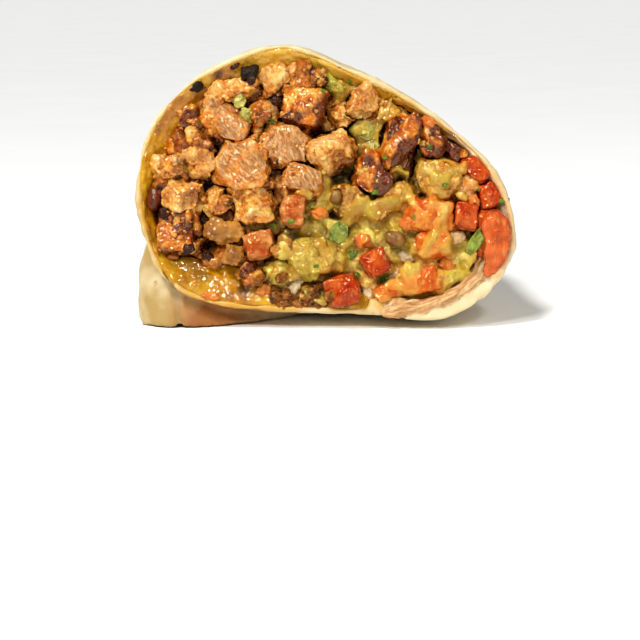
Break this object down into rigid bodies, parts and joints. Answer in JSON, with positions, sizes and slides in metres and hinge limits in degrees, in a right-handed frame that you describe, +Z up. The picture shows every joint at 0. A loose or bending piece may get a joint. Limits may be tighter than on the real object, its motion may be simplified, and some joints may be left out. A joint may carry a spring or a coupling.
{
  "type": "burrito half",
  "caption": "Half of a large cut burrito on its side: wheat tortilla wrap, melted cheese, diced grilled meat, tomato, beans and guacamole sauce at the cut face.",
  "frame": {"origin": "on the table, under the middle of the part's box", "axes": "+Z up, the cut face looks along -Y, the folded end points to +Y"},
  "size_m": [0.0966, 0.0862, 0.0705],
  "materials": {
    "tortilla": "soft matte wheat, toasted in spots",
    "melted_cheese": "glossy melted",
    "filling_meat_mix": "moist crumbled",
    "filling_salsa_mix": "glossy sauce",
    "meat_seared": "seared, moist",
    "meat_cut": "fibrous cut face",
    "meat_charred": "charred, glossy",
    "meat_sauced": "coated in sauce",
    "tomato": "wet, glossy",
    "tomato_sauced": "wet, sauced",
    "bean": "glossy skin",
    "onion": "translucent",
    "char": "burnt",
    "guacamole": "smooth paste",
    "leaf": "fresh herb"
  },
  "bodies": {
    "root": {"bean_01": "bean", "bean_02": "bean", "bean_03": "bean", "char_01": "char", "char_02": "char", "filling_meat_mix": "filling_meat_mix", "filling_salsa_mix": "filling_salsa_mix", "guacamole_01": "guacamole", "leaf_01": "leaf", "leaf_02": "leaf", "meat_charred_01": "meat_charred", "meat_charred_02": "meat_charred", "meat_charred_03": "meat_charred", "meat_charred_04": "meat_charred", "meat_charred_05": "meat_charred", "meat_charred_06": "meat_charred", "meat_charred_07": "meat_charred", "meat_charred_08": "meat_charred", "meat_charred_09": "meat_charred", "meat_cut_01": "meat_cut", "meat_cut_02": "meat_cut", "meat_cut_03": "meat_cut", "meat_cut_04": "meat_cut", "meat_sauced_01": "meat_sauced", "meat_sauced_02": "meat_sauced", "meat_sauced_03": "meat_sauced", "meat_sauced_04": "meat_sauced", "meat_sauced_05": "meat_sauced", "meat_sauced_06": "meat_sauced", "meat_sauced_07": "meat_sauced", "meat_seared_01": "meat_seared", "meat_seared_02": "meat_seared", "meat_seared_03": "meat_seared", "meat_seared_04": "meat_seared", "meat_seared_05": "meat_seared", "meat_seared_06": "meat_seared", "meat_seared_07": "meat_seared", "meat_seared_08": "meat_seared", "meat_seared_09": "meat_seared", "meat_seared_10": "meat_seared", "meat_seared_11": "meat_seared", "meat_seared_12": "meat_seared", "meat_seared_13": "meat_seared", "melted_cheese": "melted_cheese", "onion_01": "onion", "onion_02": "onion", "onion_03": "onion", "tomato_01": "tomato", "tomato_02": "tomato", "tomato_03": "tomato", "tomato_04": "tomato", "tomato_05": "tomato", "tomato_06": "tomato", "tomato_07": "tomato", "tomato_08": "tomato", "tomato_sauced_01": "tomato_sauced", "tomato_sauced_02": "tomato_sauced", "tomato_sauced_03": "tomato_sauced", "tomato_sauced_04": "tomato_sauced", "tortilla": "tortilla"}
  },
  "joints": []
}
